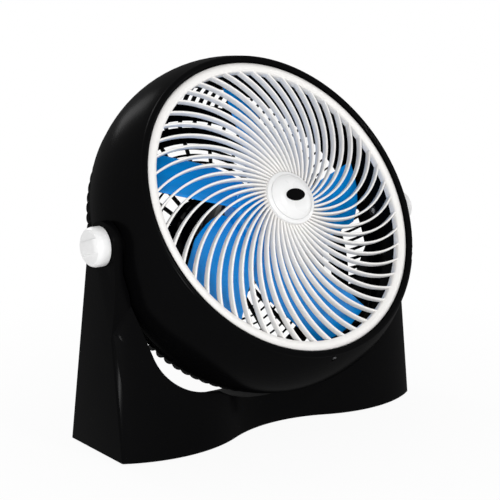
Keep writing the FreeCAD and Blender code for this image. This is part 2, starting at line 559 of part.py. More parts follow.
def pivot_nut():
    nut = hexagon(PIVOT_NUT_R, V(PAD_IN_X, 0, -AXIS_RISE), V(1, 0, 0), PIVOT_NUT_T)
    return nut.cut(bar(STUD_R + RUN_FIT, PAD_IN_X, PAD_IN_X + PIVOT_NUT_T))


def friction_washer():
    start = PAD_X + WASHER_GAP
    return bar(WASHER_R, start, start + WASHER_T).cut(bar(WASHER_HOLE_R, start, start + WASHER_T))


def knob_stud():
    return bar(STUD_R, STUD_IN_X, STUD_OUT_X)


def tilt_knob():
    """Rounded hand knob, cut away on both sides of a grip bar."""
    face_r, rim_x = KNOB_R - KNOB_ROUND, KNOB_OUT_X - KNOB_ROUND
    turn = KNOB_ROUND * math.cos(0.25 * math.pi)
    profile = [(0.0, KNOB_X), (KNOB_R, KNOB_X), (KNOB_R, rim_x),
               ((face_r + turn, rim_x + turn), (face_r, KNOB_OUT_X)), (0.0, KNOB_OUT_X)]
    knob = outline(profile, lambda r, x: V(x, r, 0)).revolve(V(), V(1, 0, 0), 360)
    flat_x = KNOB_OUT_X - KNOB_GRIP_RISE
    for y in (0.5 * KNOB_GRIP_W, -0.5 * KNOB_GRIP_W - KNOB_R):
        knob = knob.cut(box(flat_x, KNOB_OUT_X + KNOB_GRIP_RISE, y, y + KNOB_R, -KNOB_R, KNOB_R))
    knob.rotate(V(), V(1, 0, 0), KNOB_GRIP_DEG)
    knob.translate(V(0, 0, -AXIS_RISE))
    return knob.cut(bar(STUD_R, KNOB_X, STUD_OUT_X))


def pivot_bush():
    bush = bar(BUSH_R, CHEEK_IN_X, CHEEK_X)
    flange_x = CHEEK_IN_X + BASE_WALL
    bush = bush.fuse(bar(BUSH_FLANGE_R, flange_x, flange_x + BUSH_FLANGE_T))
    return bush.cut(bar(STUD_R + RUN_FIT, CHEEK_IN_X, CHEEK_X))


def levelled(shape):
    """Moves a pivot piece of the base from the fan frame to its place."""
    place = FreeCAD.Matrix()
    place.move(V(0, PIVOT_Y, PIVOT_Z + AXIS_RISE))
    return shape.transformed(place, copy=True)


def wave_plan(inset):
    """Floor plan of the base: a waved front between two straight cheeks."""
    depth = WAVE_WAIST_Y - WAVE_LOBE_Y
    wave_r = 0.25 * (WAVE_LOBE_X ** 2 + depth ** 2) / depth
    waist = (0.0, WAVE_WAIST_Y - wave_r)
    lobe = (WAVE_LOBE_X, WAVE_LOBE_Y + wave_r)
    share = 0.5 * (wave_r + inset) / wave_r
    bend = (waist[0] + share * (lobe[0] - waist[0]), waist[1] + share * (lobe[1] - waist[1]))
    side = CHEEK_X - inset
    reach = wave_r - inset
    corner = (side, lobe[1] - math.sqrt(reach ** 2 - (side - lobe[0]) ** 2))
    peak = (lobe[0], lobe[1] - reach)
    middle = (0.0, WAVE_WAIST_Y + inset)

    def flip(point):
        return -point[0], point[1]

    return outline([flip(corner), (flip(peak), flip(bend)), (middle, bend), (peak, corner),
                    (side, FAR), (-side, FAR)], lambda x, y: V(x, y + BASE_DRAFT * inset, FOOT_H + inset))


def back_lean():
    """Angle by which the back edge leans forward, from the heel to the round top."""
    reach = math.hypot(CHEEK_REAR_Y, PIVOT_Z)
    return math.acos(CHEEK_TOP_R / reach) - math.atan2(PIVOT_Z, CHEEK_REAR_Y)


def cheek_side(inset, rear_shift):
    """Side view of the base: round top about the pivot, leaning back edge."""
    r = CHEEK_TOP_R - inset
    lean = back_lean()
    touch = (r * math.cos(lean), PIVOT_Z + r * math.sin(lean))
    down = touch[1] / math.cos(lean)
    heel = (touch[0] + down * math.sin(lean), 0.0)
    slide = (rear_shift * math.cos(lean), rear_shift * math.sin(lean))
    top = 0.5 * (lean + math.pi)
    over = (r * math.cos(top), PIVOT_Z + r * math.sin(top))
    corners = [heel, touch, (over, (-r, PIVOT_Z)), (-r, SHOULDER_Z), (SHOULDER_Y + inset, SHOULDER_LOW_Z),
               (SHOULDER_Y + inset, 0.0)]
    if rear_shift:
        low = (touch[0] + BACK_LIP * math.sin(lean), touch[1] - BACK_LIP * math.cos(lean))
        corners[:1] = [(heel[0] + slide[0], heel[1]), (low[0] + slide[0], low[1] + slide[1]), low]
    return outline(corners, lambda y, z: V(-FAR, y, z)).extrude(V(2 * FAR, 0, 0))


def saddle_cut(grow):
    """Space above the base: a wide dip that falls to the rear, and room for the drum to tilt."""
    turn, side_turn = math.radians(SADDLE_TURN), math.radians(SADDLE_SIDE_TURN)
    top = SADDLE_Z + SADDLE_R
    bend_z = top - (SADDLE_R - SADDLE_SIDE_R) * math.cos(turn)
    bend_x = (SADDLE_R - SADDLE_SIDE_R) * math.sin(turn)

    def wide(angle):
        return (SADDLE_R + grow) * math.sin(angle), top - (SADDLE_R + grow) * math.cos(angle)

    def tight(angle):
        r = SADDLE_SIDE_R + grow
        return bend_x + r * math.sin(angle), bend_z - r * math.cos(angle)

    def left(point):
        return -point[0], point[1]

    first, middle, last = wide(turn), tight(0.5 * (turn + side_turn)), tight(side_turn)
    side = CHEEK_IN_X + grow
    rise = (side, last[1] + (side - last[0]) * math.tan(side_turn))
    drop = FAR * math.tan(math.radians(SADDLE_FALL))
    face = outline([left(first), (wide(0.0), first), (middle, last), rise, (side, FAR), (-side, FAR),
                    left(rise), left(last), (left(middle), left(first))],
                   lambda x, z: V(x, WAVE_LOBE_Y - FAR, z + drop))
    dip = face.extrude(V(0, 2 * FAR, -2 * drop))
    return dip.fuse(Part.makeSphere(DRUM_CLEAR_R + grow, V(0, 0, PIVOT_Z), V(1, 0, 0)))


def cheek_heads(inset):
    """Upper ends of the cheeks, in front of the leaning wall, to carry the round tops."""
    front = inset - CHEEK_TOP_R
    side = CHEEK_X - inset
    face = outline([(front, SHOULDER_Z), (front, FAR), (FAR, FAR), (FAR, SHOULDER_LOW_Z),
                    (NECK_Y + inset, SHOULDER_LOW_Z)], lambda y, z: V(-side, y, z))
    return face.extrude(V(2 * side, 0, 0))


def saddle(inset, rear_shift):
    rise = FAR - inset
    body = wave_plan(inset).extrude(V(0, BASE_DRAFT * rise, rise))
    corners = [e for e in body.Edges if abs(abs(e.CenterOfMass.x) - CHEEK_X + inset) < SEAT_GAP
               and e.CenterOfMass.y < BASE_DRAFT * rise and abs(e.tangentAt(e.FirstParameter).z) > UPRIGHT]
    body = body.makeFillet(CORNER_R - inset, corners).fuse(cheek_heads(inset))
    return body.common(cheek_side(inset, rear_shift)).cut(saddle_cut(inset))


def back_frame():
    """Point on the leaning back plane at the floor, its outward normal and its upward direction."""
    lean = back_lean()
    return V(0, CHEEK_REAR_Y, 0), V(0, math.cos(lean), math.sin(lean)), V(0, -math.sin(lean), math.cos(lean))


def back_points():
    foot, out, up = back_frame()
    for x, z in BACK_SCREWS:
        for side in (-x, x):
            yield foot + up * (z / up.z) + V(side, 0, 0), out


def placed(shape):
    shape = shape.copy()
    shape.translate(V(0, PIVOT_Y, 0))
    return shape


def base_shell():
    outer = saddle(0.0, 0.0)
    shell = outer.cut(saddle(BASE_WALL, BASE_WALL + BACK_T))
    posts, holes = [], []
    for point, out in back_points():
        start = point - out * BACK_T
        posts.append(Part.makeCylinder(BACK_POST_R, BACK_POST_L, start, out * -1))
        holes.append(Part.makeCylinder(BACK_SCREW_R, BACK_POST_L, start, out * -1))
    shell = shell.multiFuse([p.common(outer) for p in posts])
    for side in (1.0, -1.0):
        holes.append(Part.makeCylinder(BUSH_R, FAR, V(0, 0, PIVOT_Z), V(side, 0, 0)))
    for x, y in FEET:
        for side in (-x, x):
            holes.append(Part.makeCylinder(FOOT_PEG_R, BASE_WALL, V(side, y, FOOT_H)))
    return placed(shell.cut(Part.makeCompound(holes)))


def base_back_cover():
    foot, out, up = back_frame()
    slab = Part.makeBox(2 * FAR, 2 * FAR, BACK_T)
    slab.Placement = FreeCAD.Placement(foot + V(FAR, 0, 0) - up * FAR - out * BACK_T,
                                       FreeCAD.Rotation(V(-1, 0, 0), up, out))
    plate = saddle(BASE_WALL + BACK_GAP, BASE_WALL + BACK_T).common(slab)
    holes = [Part.makeCylinder(BACK_SCREW_R + SLIP_FIT, 2 * BACK_T, point + n * BACK_T, n * -1)
             for point, n in back_points()]
    return placed(plate.cut(Part.makeCompound(holes)))


def back_cover_screws():
    screws = []
    for point, out in back_points():
        shank = Part.makeCylinder(BACK_SCREW_R, BACK_POST_L, point, out * -1)
        screws.append(shank.fuse(Part.makeCylinder(BACK_HEAD_R, BACK_HEAD_H, point, out)))
    return placed(Part.makeCompound(screws))


def base_feet():
    feet = []
    for x, y in FEET:
        for side in (-x, x):
            pad = Part.makeCylinder(FOOT_R, FOOT_H, V(side, y, 0))
            feet.append(pad.fuse(Part.makeCylinder(FOOT_PEG_R, FOOT_H + BASE_WALL, V(side, y, 0))))
    return placed(Part.makeCompound(feet))


for piece in (drum_shell, front_grille, grille_hub_cap, hub_badge, grille_lock_screw, rear_grille,
              rear_grille_screws, stator_core, stator_windings, motor_bolts, motor_nuts, motor_shaft,
              rotor_core, shaft_collars, cross_pin, fan_blade, blade_nut, motor_cover, motor_cover_screws,
              speed_switch, switch_nut, switch_spindle, speed_knob, run_capacitor, cord_grommet):
    save(piece.__name__, headed(piece()))
for piece in (base_shell, base_back_cover, back_cover_screws, base_feet):
    save(piece.__name__, piece())
save("motor_front_shield", headed(motor_shield(True)))
save("motor_rear_shield", headed(motor_shield(False)))
save("front_bearing", headed(bearing(BEARING_FRONT_Y)))
save("rear_bearing", headed(bearing(rear_bearing_y())))
save("pivot_nuts", headed(both(pivot_nut())))
save("friction_washers", headed(both(friction_washer())))
save("pivot_bushes", levelled(both(pivot_bush())))
save("tilt_knob_right", levelled(tilt_knob()))
save("tilt_knob_left", levelled(mirrored(tilt_knob())))
save("knob_stud_right", levelled(knob_stud()))
save("knob_stud_left", levelled(mirrored(knob_stud())))
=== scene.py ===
import bpy
import bmesh
import json
import math
from mathutils import Matrix, Vector


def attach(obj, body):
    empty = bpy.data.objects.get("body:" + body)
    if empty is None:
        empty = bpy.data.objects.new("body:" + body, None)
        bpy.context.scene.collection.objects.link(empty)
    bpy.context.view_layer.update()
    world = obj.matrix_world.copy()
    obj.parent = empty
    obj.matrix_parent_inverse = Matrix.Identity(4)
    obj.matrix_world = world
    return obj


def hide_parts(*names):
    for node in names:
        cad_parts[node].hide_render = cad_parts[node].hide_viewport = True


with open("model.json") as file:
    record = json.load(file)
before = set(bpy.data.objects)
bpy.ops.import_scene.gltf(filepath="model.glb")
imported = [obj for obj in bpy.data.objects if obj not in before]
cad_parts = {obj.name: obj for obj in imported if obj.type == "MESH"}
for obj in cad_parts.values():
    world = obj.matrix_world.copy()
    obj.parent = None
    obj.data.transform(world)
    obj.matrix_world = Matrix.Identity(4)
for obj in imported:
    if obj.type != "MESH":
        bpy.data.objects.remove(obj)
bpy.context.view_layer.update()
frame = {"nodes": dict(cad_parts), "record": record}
nodes = frame["nodes"]

# Sizes are in millimetres, as in the solids, and become metres where a mesh is made.
# In the fan frame the fan axis is Y, the pivots are at y = 0 and the rear is at +Y.
MM = 0.001
FULL_TURN = 2 * math.pi
TILT = math.radians(29.0)
PIVOT_Y, PIVOT_Z = -16.0, 262.0
AXIS_RISE = 8.0
PIVOT = Matrix.Translation(Vector((0.0, PIVOT_Y, PIVOT_Z)) * MM)
HEAD = PIVOT @ Matrix.Rotation(-TILT, 4, "X") @ Matrix.Translation((0, 0, AXIS_RISE * MM))

# Number of flats that make a round shape
RIM_SIDES, BASKET_SIDES, CUP_SIDES = 192, 180, 128
HUB_SIDES, SCREW_SIDES, LUG_SIDES = 96, 40, 32

# Points closer than this are one point, in shapes drawn here and in meshes of the solids
MERGE, SOLID_MERGE = 0.01, 0.004

# Front grille: plan of one rib, its section, and the dome, which drops by fall times squared reach in metres
RIB_COUNT, RIB_STEPS = 50, 34
RIB_START, RIB_MIDDLE, RIB_END = (32.0, -1.6), (96.2, 46.9), (123.0, 140.0)
RIB_WIDTH, RIB_DEPTH, RIB_EDGE = 2.7, 9.2, 1.2
DOME_CROWN, DOME_FALL = 72.52, 0.354

# Blade: four stations from the leading to the trailing edge, each with offset, root, tip and height
BLADE_COUNT = 5
BLADE_STATIONS = ((0.0, 38.0, 180.0, -20.0), (26.0, 32.0, 181.0, -7.5),
                  (52.0, 20.0, 174.0, 5.5), (72.0, 64.0, 158.0, 17.0))
STATION_MARKS = (0.0, 0.36, 0.72, 1.0)
BLADE_TURN = math.radians(163.5)
BLADE_ROOT, BLADE_CHORD, BLADE_SPAN = 44.6, 85.0, 130.0
BLADE_HALF, BLADE_EDGE = 1.2, 1.5

# Rear grille: every second fin ends in the shoulder band, every fourth runs to the motor cup
FIN_COUNT, FIN_HALF = 96, 1.2
FIN_TOP, FIN_FOOT = (215.8, 39.0), (211.8, 39.0)
CUP_REACH, PLATE_REACH, SHOULDER_REACH = 70.0, 160.0, 182.0
CROSS_RINGS, CROSS_HALF = (93.0, 104.0, 115.0, 126.0, 137.0, 147.0), 1.2
LUG_COUNT, LUG_ANGLE, LUG_REACH, LUG_SEAT = 6, 1.875, 213.3, 36.0

# Motor cover: ring of its screws, and the stops of the speed dial from the top on
COVER_COUNT, COVER_ANGLE, COVER_REACH, COVER_SEAT = 3, 90.0, 55.0, 126.5
DIAL_STOPS, DIAL_STEP = 4, math.radians(-45.0)

# Screws: shank radius, shank length, head radius and head height
BASKET_SCREW = (2.0, 12.0, 3.6, 2.8)
COVER_SCREW = (2.0, 42.5, 3.8, 2.4)
PLATE_SCREW = (1.6, 14.0, 3.0, 1.8)


# Mesh helpers
def linked(name, data):
    """New object in the scene for a mesh, lamp or camera."""
    holder = bpy.data.objects.new(name, data)
    bpy.context.scene.collection.objects.link(holder)
    return holder


def plain_mesh(holder):
    """Mesh of an object as its modifiers leave it; the object goes."""
    graph = bpy.context.evaluated_depsgraph_get()
    result = bpy.data.meshes.new_from_object(holder.evaluated_get(graph), depsgraph=graph)
    holder.modifiers.clear()
    bpy.data.objects.remove(holder)
    return result


def piece_from(mesh, name, body, material, replaced=(), sharp=35.0):
    """Finished object at the origin, smooth except at its sharp edges, riding on its body."""
    mesh.name = name
    mesh.materials.clear()
    mesh.materials.append(material)
    mesh.shade_smooth()
    mesh.set_sharp_from_angle(angle=math.radians(sharp))
    piece = linked(name, mesh)
    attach(piece, body)
    if replaced:
        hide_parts(*replaced)


def arc(first, middle, last, steps):
    """Points on the arc through three (r, y) points."""
    (ax, ay), (bx, by), (cx, cy) = first, middle, last
    aa, bb, cc = ax * ax + ay * ay, bx * bx + by * by, cx * cx + cy * cy
    d = 2 * (ax * (by - cy) + bx * (cy - ay) + cx * (ay - by))
    ux = (aa * (by - cy) + bb * (cy - ay) + cc * (ay - by)) / d
    uy = (aa * (cx - bx) + bb * (ax - cx) + cc * (bx - ax)) / d
    r = math.hypot(ax - ux, ay - uy)
    a, b, c = (math.atan2(y - uy, x - ux) for x, y in (first, middle, last))
    turn = (c - a) % FULL_TURN
    if (b - a) % FULL_TURN > turn:
        turn -= FULL_TURN
    angles = [a + turn * i / steps for i in range(1, steps + 1)]
    return [first] + [(ux + r * math.cos(t), uy + r * math.sin(t)) for t in angles]


def rounded(corners, radius, steps=3):
    """Closed profile with every corner turned by a small curve of steps + 1 points."""
    out = []
    count = len(corners)
    most = 0.45
    for i, corner in enumerate(corners):
        here = Vector(corner)
        back, ahead = Vector(corners[i - 1]) - here, Vector(corners[(i + 1) % count]) - here
        reach = min(radius, most * back.length, most * ahead.length)
        start, end = here + back.normalized() * reach, here + ahead.normalized() * reach
        for k in range(steps + 1):
            t = k / steps
            out.append(tuple((1 - t) ** 2 * start + 2 * t * (1 - t) * here + t * t * end))
    return out


def bar(inner, outer, low, high, soft):
    """Rectangular (r, y) profile with soft corners."""
    return rounded([(inner, low), (outer, low), (outer, high), (inner, high)], soft, 2)


def turned(profile, segments, mesh=None):
    """Adds a closed (r, y) profile turned about the fan axis to a bmesh."""
    bm = mesh or bmesh.new()
    rings = []
    for i in range(segments):
        angle = FULL_TURN * i / segments
        c, s = math.cos(angle), math.sin(angle)
        rings.append([bm.verts.new((r * c * MM, y * MM, r * s * MM)) for r, y in profile])
    count = len(profile)
    for i in range(segments):
        a, b = rings[i], rings[(i + 1) % segments]
        for k in range(count):
            j = (k + 1) % count
            bm.faces.new((a[k], b[k], b[j], a[j]))
    return bm


def as_mesh(bm):
    mesh = bpy.data.meshes.new("piece")
    bm.to_mesh(mesh)
    bm.free()
    return mesh


def finished(bm, place=None):
    """Plain mesh of a bmesh: doubles merged, faces outwards, moved to its place."""
    bmesh.ops.remove_doubles(bm, verts=bm.verts, dist=MERGE * MM)
    bmesh.ops.recalc_face_normals(bm, faces=bm.faces)
    mesh = as_mesh(bm)
    if place is not None:
        mesh.transform(place)
    return mesh


def joined(*meshes):
    """One bmesh of several meshes."""
    bm = bmesh.new()
    for mesh in meshes:
        bm.from_mesh(mesh)
    return bm


def break_edges(bm, least, width, segments):
    """Bevels every edge whose two faces fold by more than the least angle, in radians."""
    rims = [e for e in bm.edges if len(e.link_faces) == 2 and e.calc_face_angle(0) > least]
    bmesh.ops.bevel(bm, geom=rims, offset=width * MM, segments=segments, profile=0.5, affect="EDGES",
                    clamp_overlap=True)


def split_large(bm):
    """Triangles in place of faces with more than four corners."""
    bmesh.ops.triangulate(bm, faces=[f for f in bm.faces if len(f.verts) > 4])


# Geometry Nodes helpers
def node_tree(name, inputs):
    tree = bpy.data.node_groups.new(name, "GeometryNodeTree")
    for label, kind in inputs:
        tree.interface.new_socket(label, in_out="INPUT", socket_type="NodeSocket" + kind)
    tree.interface.new_socket("Geometry", in_out="OUTPUT", socket_type="NodeSocketGeometry")
    return tree, tree.nodes.new("NodeGroupInput").outputs, tree.nodes.new("NodeGroupOutput")


def math_node(tree, operation, a, b=None):
    node = tree.nodes.new("ShaderNodeMath")
    node.operation = operation
    for socket, value in zip(node.inputs, (a, b)):
        if isinstance(value, (int, float)):
            socket.default_value = value
        elif value is not None:
            tree.links.new(value, socket)
    return node.outputs[0]


def set_out(tree, points, instance, turn, material, out):
    """Last nodes of a tree: turned copies on points, made real and painted."""
    link = tree.links.new
    put = tree.nodes.new("GeometryNodeInstanceOnPoints")
    real = tree.nodes.new("GeometryNodeRealizeInstances")
    paint = tree.nodes.new("GeometryNodeSetMaterial")
    link(points.outputs[0], put.inputs["Points"])
    link(instance, put.inputs["Instance"])
    link(turn.outputs[0], put.inputs["Rotation"])
    link(put.outputs[0], real.inputs[0])
    link(real.outputs[0], paint.inputs["Geometry"])
    link(material, paint.inputs["Material"])
    link(paint.outputs[0], out.inputs[0])
    return tree


def copies_round_axis():
    """Copies of a mesh turned round the fan axis."""
    tree, given, out = node_tree("Copies round the fan axis", (
        ("Geometry", "Geometry"), ("Count", "Int"), ("First angle", "Float"), ("Sweep", "Float"),
        ("Material", "Material")))
    points = tree.nodes.new("GeometryNodePoints")
    index = tree.nodes.new("GeometryNodeInputIndex")
    turn = tree.nodes.new("ShaderNodeCombineXYZ")
    step = math_node(tree, "DIVIDE", given["Sweep"], given["Count"])
    angle = math_node(tree, "MULTIPLY", index.outputs[0], step)
    angle = math_node(tree, "SUBTRACT", given["First angle"], angle)
    tree.links.new(given["Count"], points.inputs["Count"])
    tree.links.new(angle, turn.inputs["Y"])
    return set_out(tree, points, given["Geometry"], turn, given["Material"], out)


def spiral_ribs():
    """Ribs that sweep outwards on arcs over a shallow dome, drawn with the fan axis on Z."""
    tree, given, out = node_tree("Spiral ribs", (
        ("Geometry", "Geometry"), ("Count", "Int"), ("Start", "Vector"), ("Middle", "Vector"),
        ("End", "Vector"), ("Width", "Float"), ("Depth", "Float"), ("Edge radius", "Float"),
        ("Crown", "Float"), ("Fall", "Float"), ("Material", "Material")))
    link = tree.links.new
    path = tree.nodes.new("GeometryNodeCurveArc")
    path.mode = "POINTS"
    path.inputs["Resolution"].default_value = RIB_STEPS
    for end in ("Start", "Middle", "End"):
        link(given[end], path.inputs[end])

    # The dome: crown less fall times squared reach, at the middle of the rib's depth
    where = tree.nodes.new("GeometryNodeInputPosition")
    split = tree.nodes.new("ShaderNodeSeparateXYZ")
    link(where.outputs[0], split.inputs[0])
    across, along = split.outputs[0], split.outputs[1]
    square = math_node(tree, "ADD", math_node(tree, "MULTIPLY", across, across),
                       math_node(tree, "MULTIPLY", along, along))
    height = math_node(tree, "SUBTRACT", given["Crown"], math_node(tree, "MULTIPLY", square, given["Fall"]))
    height = math_node(tree, "SUBTRACT", height, math_node(tree, "MULTIPLY", given["Depth"], 0.5))
    lift = tree.nodes.new("ShaderNodeCombineXYZ")
    for value, socket in zip((across, along, height), lift.inputs):
        link(value, socket)
    dome = tree.nodes.new("GeometryNodeSetPosition")
    link(path.outputs[0], dome.inputs["Geometry"])
    link(lift.outputs[0], dome.inputs["Position"])
    upright = tree.nodes.new("GeometryNodeSetCurveNormal")
    upright.mode = "Z_UP"
    link(dome.outputs[0], upright.inputs["Curve"])

    # The section: a flat bar with rounded edges
    section = tree.nodes.new("GeometryNodeCurvePrimitiveQuadrilateral")
    link(given["Width"], section.inputs["Width"])
    link(given["Depth"], section.inputs["Height"])
    soft = tree.nodes.new("GeometryNodeFilletCurve")
    soft.mode = "POLY"
    soft.inputs["Count"].default_value = 3
    link(section.outputs[0], soft.inputs["Curve"])
    link(given["Edge radius"], soft.inputs["Radius"])
    sweep = tree.nodes.new("GeometryNodeCurveToMesh")
    sweep.inputs["Fill Caps"].default_value = True
    link(upright.outputs[0], sweep.inputs["Curve"])
    link(soft.outputs[0], sweep.inputs["Profile Curve"])

    points = tree.nodes.new("GeometryNodePoints")
    link(given["Count"], points.inputs["Count"])
    index = tree.nodes.new("GeometryNodeInputIndex")
    turn = tree.nodes.new("ShaderNodeCombineXYZ")
    step = math_node(tree, "DIVIDE", FULL_TURN, given["Count"])
    link(math_node(tree, "MULTIPLY", index.outputs[0], step), turn.inputs["Z"])
    return set_out(tree, points, sweep.outputs[0], turn, given["Material"], out)


def rows_on_back_plate():
    """Two upright rows of copies on the leaning back plate of the base."""
    tree, given, out = node_tree("Rows on the back plate", (
        ("Geometry", "Geometry"), ("Per row", "Int"), ("Half width", "Float"), ("Lowest", "Float"),
        ("Pitch", "Float"), ("Heel", "Float"), ("Lean", "Float"), ("Material", "Material")))
    index = tree.nodes.new("GeometryNodeInputIndex").outputs[0]
    right = math_node(tree, "MODULO", index, 2)
    level = math_node(tree, "FLOOR", math_node(tree, "DIVIDE", index, 2))
    side = math_node(tree, "SUBTRACT", math_node(tree, "MULTIPLY", right, 2), 1)
    x = math_node(tree, "MULTIPLY", side, given["Half width"])
    z = math_node(tree, "ADD", given["Lowest"], math_node(tree, "MULTIPLY", level, given["Pitch"]))
    y = math_node(tree, "SUBTRACT", given["Heel"],
                  math_node(tree, "MULTIPLY", z, math_node(tree, "TANGENT", given["Lean"])))
    spot = tree.nodes.new("ShaderNodeCombineXYZ")
    turn = tree.nodes.new("ShaderNodeCombineXYZ")
    points = tree.nodes.new("GeometryNodePoints")
    for value, socket in zip((x, y, z), spot.inputs):
        tree.links.new(value, socket)
    tree.links.new(given["Lean"], turn.inputs["X"])
    tree.links.new(math_node(tree, "MULTIPLY", given["Per row"], 2), points.inputs["Count"])
    tree.links.new(spot.outputs[0], points.inputs["Position"])
    return set_out(tree, points, given["Geometry"], turn, given["Material"], out)


def grown(tree, mesh, values):
    """Plain mesh that a tree makes of a mesh, with the tree's inputs set by name."""
    holder = linked("holder", mesh)
    step = holder.modifiers.new("grow", "NODES")
    step.node_group = tree
    for item in tree.interface.items_tree:
        if item.in_out == "INPUT" and item.name in values:
            step[item.identifier] = values[item.name]
    return plain_mesh(holder)


COPIES = copies_round_axis()


def round_axis(mesh, count, material, first=0.0, sweep=FULL_TURN):
    return grown(COPIES, mesh, {"Count": count, "First angle": first, "Sweep": sweep, "Material": material})


# Materials
def shader_group(name, inputs, outputs):
    tree = bpy.data.node_groups.new(name, "ShaderNodeTree")
    for label, value in inputs:
        socket = tree.interface.new_socket(label, in_out="INPUT", socket_type="NodeSocketFloat")
        socket.default_value = value
    for label in outputs:
        tree.interface.new_socket(label, in_out="OUTPUT", socket_type="NodeSocketFloat")
    return tree, tree.nodes.new("NodeGroupInput").outputs, tree.nodes.new("NodeGroupOutput").inputs


def noise(tree, where, scale, detail):
    node = tree.nodes.new("ShaderNodeTexNoise")
    node.inputs["Detail"].default_value = detail
    tree.links.new(scale, node.inputs["Scale"])
    tree.links.new(where, node.inputs["Vector"])
    return node.outputs["Fac"]


def moulded_skin():
    """Moulded plastic: fine tool grain, slow flow of the surface, and uneven gloss."""
    tree, given, out = shader_group(
        "Moulded skin",
        (("Grain scale", 900.0), ("Flow scale", 9.0), ("Gloss", 0.35), ("Gloss spread", 0.08)),
        ("Height", "Tone", "Roughness"))
    where = tree.nodes.new("ShaderNodeTexCoord").outputs["Object"]
    grain = noise(tree, where, given["Grain scale"], 2.0)
    flow = noise(tree, where, given["Flow scale"], 3.0)
    swing = math_node(tree, "SUBTRACT", flow, 0.5)
    spread = math_node(tree, "MULTIPLY", swing, given["Gloss spread"])
    tree.links.new(grain, out["Height"])
    tree.links.new(flow, out["Tone"])
    tree.links.new(math_node(tree, "ADD", given["Gloss"], spread), out["Roughness"])
    return tree


SKIN = moulded_skin()
GRAIN_DEPTH = 0.2


def plastic(name, dark, light, gloss, grain, bump, spread=0.08, specular=0.5, coat=0.0):
    material = bpy.data.materials.new(name)
    material.use_nodes = True
    tree = material.node_tree
    surface = tree.nodes["Principled BSDF"].inputs
    skin = tree.nodes.new("ShaderNodeGroup")
    skin.node_tree = SKIN
    skin.inputs["Grain scale"].default_value = grain
    skin.inputs["Gloss"].default_value = gloss
    skin.inputs["Gloss spread"].default_value = spread
    tone = tree.nodes.new("ShaderNodeMix")
    tone.data_type = "RGBA"
    tone.inputs["A"].default_value = (*dark, 1)
    tone.inputs["B"].default_value = (*light, 1)
    raised = tree.nodes.new("ShaderNodeBump")
    raised.inputs["Strength"].default_value = bump
    raised.inputs["Distance"].default_value = GRAIN_DEPTH * MM
    link = tree.links.new
    link(skin.outputs["Tone"], tone.inputs["Factor"])
    link(tone.outputs["Result"], surface["Base Color"])
    link(skin.outputs["Roughness"], surface["Roughness"])
    link(skin.outputs["Height"], raised.inputs["Height"])
    link(raised.outputs[0], surface["Normal"])
    surface["Specular IOR Level"].default_value = specular
    surface["Coat Weight"].default_value = coat
    surface["Coat Roughness"].default_value = gloss
    return material


def metal(name, dark, light, gloss, grain, bump):
    material = plastic(name, dark, light, gloss, grain, bump, spread=0.15)
    material.node_tree.nodes["Principled BSDF"].inputs["Metallic"].default_value = 1.0
    return material


FINISH = {
    "black_plastic": plastic("Black satin moulding", (0.0012, 0.0012, 0.0014), (0.0022, 0.0022, 0.0024),
                             gloss=0.24, grain=1100.0, bump=0.10, specular=0.0, coat=0.05),
    "white_plastic": plastic("White gloss moulding", (0.80, 0.80, 0.80), (0.86, 0.86, 0.86),
                             gloss=0.28, grain=700.0, bump=0.03, spread=0.06),
    "grille_white": plastic("Grille moulding", (0.83, 0.815, 0.795), (0.87, 0.855, 0.835),
                            gloss=0.36, grain=900.0, bump=0.05, spread=0.06),
    "grey_plastic": plastic("Dark grey moulding", (0.05, 0.05, 0.053), (0.07, 0.07, 0.073),
                            gloss=0.42, grain=1100.0, bump=0.10),
    "blue_plastic": plastic("Blue blade moulding", (0.003, 0.31, 0.92), (0.004, 0.36, 0.97),
                            gloss=0.22, grain=500.0, bump=0.02, spread=0.06),
    "black_steel": metal("Blackened screw steel", (0.03, 0.03, 0.032), (0.05, 0.05, 0.052),
                         gloss=0.4, grain=1500.0, bump=0.06),
    "steel": metal("Zinc plated steel", (0.50, 0.50, 0.50), (0.62, 0.62, 0.61),
                   gloss=0.34, grain=1500.0, bump=0.06),
    "pressed_steel": metal("Plated motor sheet", (0.42, 0.43, 0.44), (0.52, 0.53, 0.54),
                           gloss=0.42, grain=1200.0, bump=0.06),
    # Core sheet: a near-black colour without metal, darker than bare core steel
    "lamination": plastic("Near-black core sheet", (0.005, 0.005, 0.006), (0.010, 0.010, 0.011),
                          gloss=0.5, grain=1600.0, bump=0.2, specular=0.1),
    "copper": metal("Varnished copper wire", (0.55, 0.22, 0.08), (0.68, 0.30, 0.12),
                    gloss=0.3, grain=900.0, bump=0.3),
    "bronze": metal("Sintered bronze", (0.42, 0.28, 0.12), (0.52, 0.36, 0.17),
                    gloss=0.5, grain=1800.0, bump=0.1),
    "capacitor_case": plastic("Capacitor case", (0.02, 0.02, 0.022), (0.03, 0.03, 0.032),
                              gloss=0.5, grain=900.0, bump=0.1),
    "rubber": plastic("Black rubber", (0.012, 0.012, 0.012), (0.02, 0.02, 0.02),
                      gloss=0.75, grain=1300.0, bump=0.2),
}

# Solids that show through the grille or under the lip get the dark screw steel in place of their slot's
# finish, the others have their slot's finish
DARK_STEEL_SOLIDS = ("grille_lock_screw", "pivot_nuts", "motor_front_shield", "motor_bolts")
for part in frame["record"]["subparts"]:
    node = part["node"]
    shown = nodes[node].data.materials
    shown.clear()
    shown.append(FINISH["black_steel" if node in DARK_STEEL_SOLIDS else part["material_slot"]])


